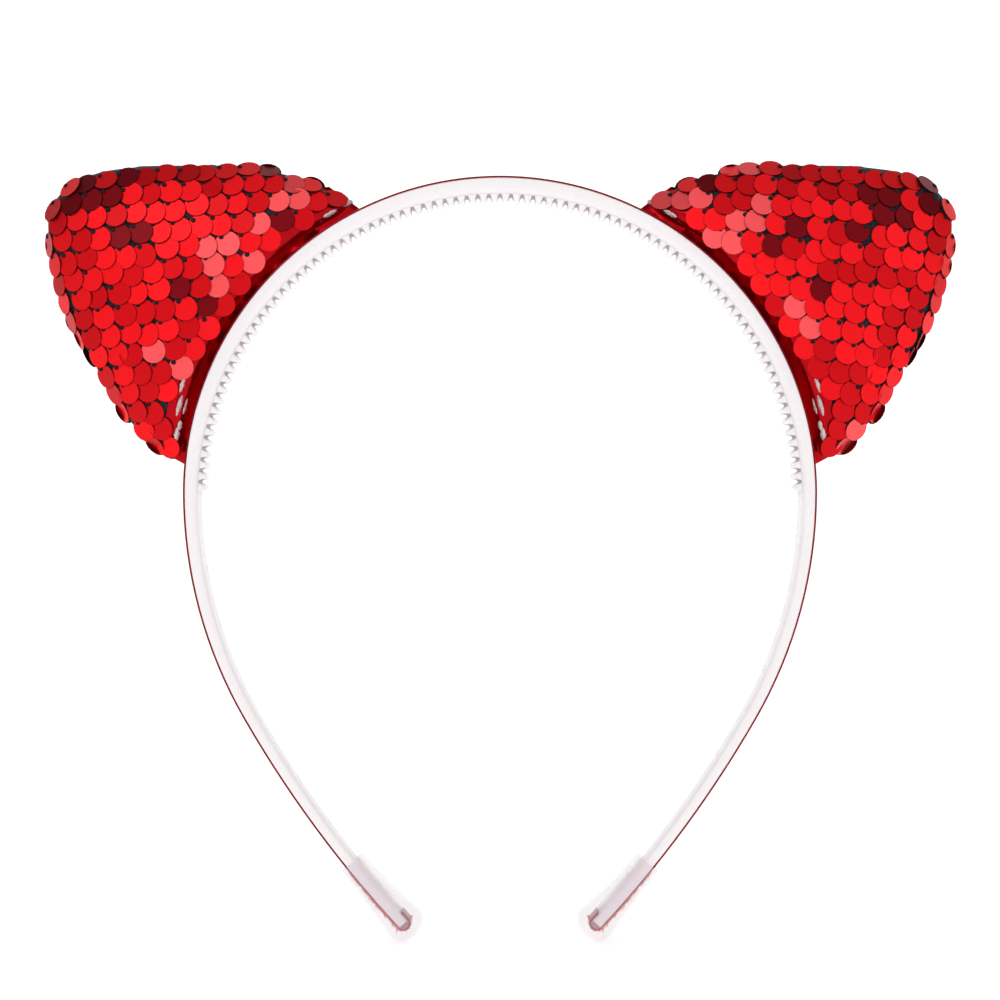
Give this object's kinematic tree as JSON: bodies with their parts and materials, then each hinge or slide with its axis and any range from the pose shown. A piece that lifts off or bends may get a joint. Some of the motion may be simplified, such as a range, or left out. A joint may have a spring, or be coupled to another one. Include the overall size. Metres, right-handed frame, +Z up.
{
  "type": "animal ears headband",
  "caption": "Springy plastic hair hoop with an inner comb, foil ribbon and clear tip caps, carrying two stuffed cat ears covered in red flip sequins.",
  "frame": {"origin": "middle of the crown, level with the tips of the comb, where the hoop sits on the head", "axes": "+Z up as worn, +X from ear to ear towards the wearer's left, +Y from the face to the back of the head"},
  "size_m": [0.191, 0.0174, 0.163],
  "materials": {
    "hoop_plastic": "smooth glossy white injection moulding",
    "foil_ribbon": "red metallic foil laminate",
    "clear_vinyl": "soft clear vinyl, glossy",
    "gloss_tape": "glossy deep red coated tape",
    "pad_foam": "soft white wadding",
    "sequin_fabric": "black mesh covered in shiny red round sequins",
    "clear_glue": "clear hot-melt glue, wet gloss"
  },
  "bodies": {
    "crown": {"hoop_crown": "hoop_plastic", "ribbon_crown": "foil_ribbon"},
    "left_arm": {"hoop_left_arm": "hoop_plastic", "ribbon_left": "foil_ribbon", "tip_cap_left": "clear_vinyl", "ear_base_tape_left": "gloss_tape", "ear_foam_pad_left": "pad_foam", "ear_front_panel_left": "sequin_fabric", "ear_back_panel_left": "sequin_fabric", "glue_bead_front_left": "clear_glue", "glue_bead_back_left": "clear_glue"},
    "right_arm": {"hoop_right_arm": "hoop_plastic", "ribbon_right": "foil_ribbon", "tip_cap_right": "clear_vinyl", "ear_base_tape_right": "gloss_tape", "ear_foam_pad_right": "pad_foam", "ear_front_panel_right": "sequin_fabric", "ear_back_panel_right": "sequin_fabric", "glue_bead_front_right": "clear_glue", "glue_bead_back_right": "clear_glue"}
  },
  "joints": [
    {"name": "left_arm_flex", "type": "hinge", "parent": "crown", "child": "left_arm", "pos_m": [-0.01469, 0, 0.00345], "axis": [0, 1, 0], "range_deg": [0, 19], "stiffness_Nm_per_rad": 0.85},
    {"name": "right_arm_flex", "type": "hinge", "parent": "crown", "child": "right_arm", "pos_m": [0.01469, 0, 0.00345], "axis": [0, -1, 0], "range_deg": [0, 19], "stiffness_Nm_per_rad": 0.85}
  ]
}
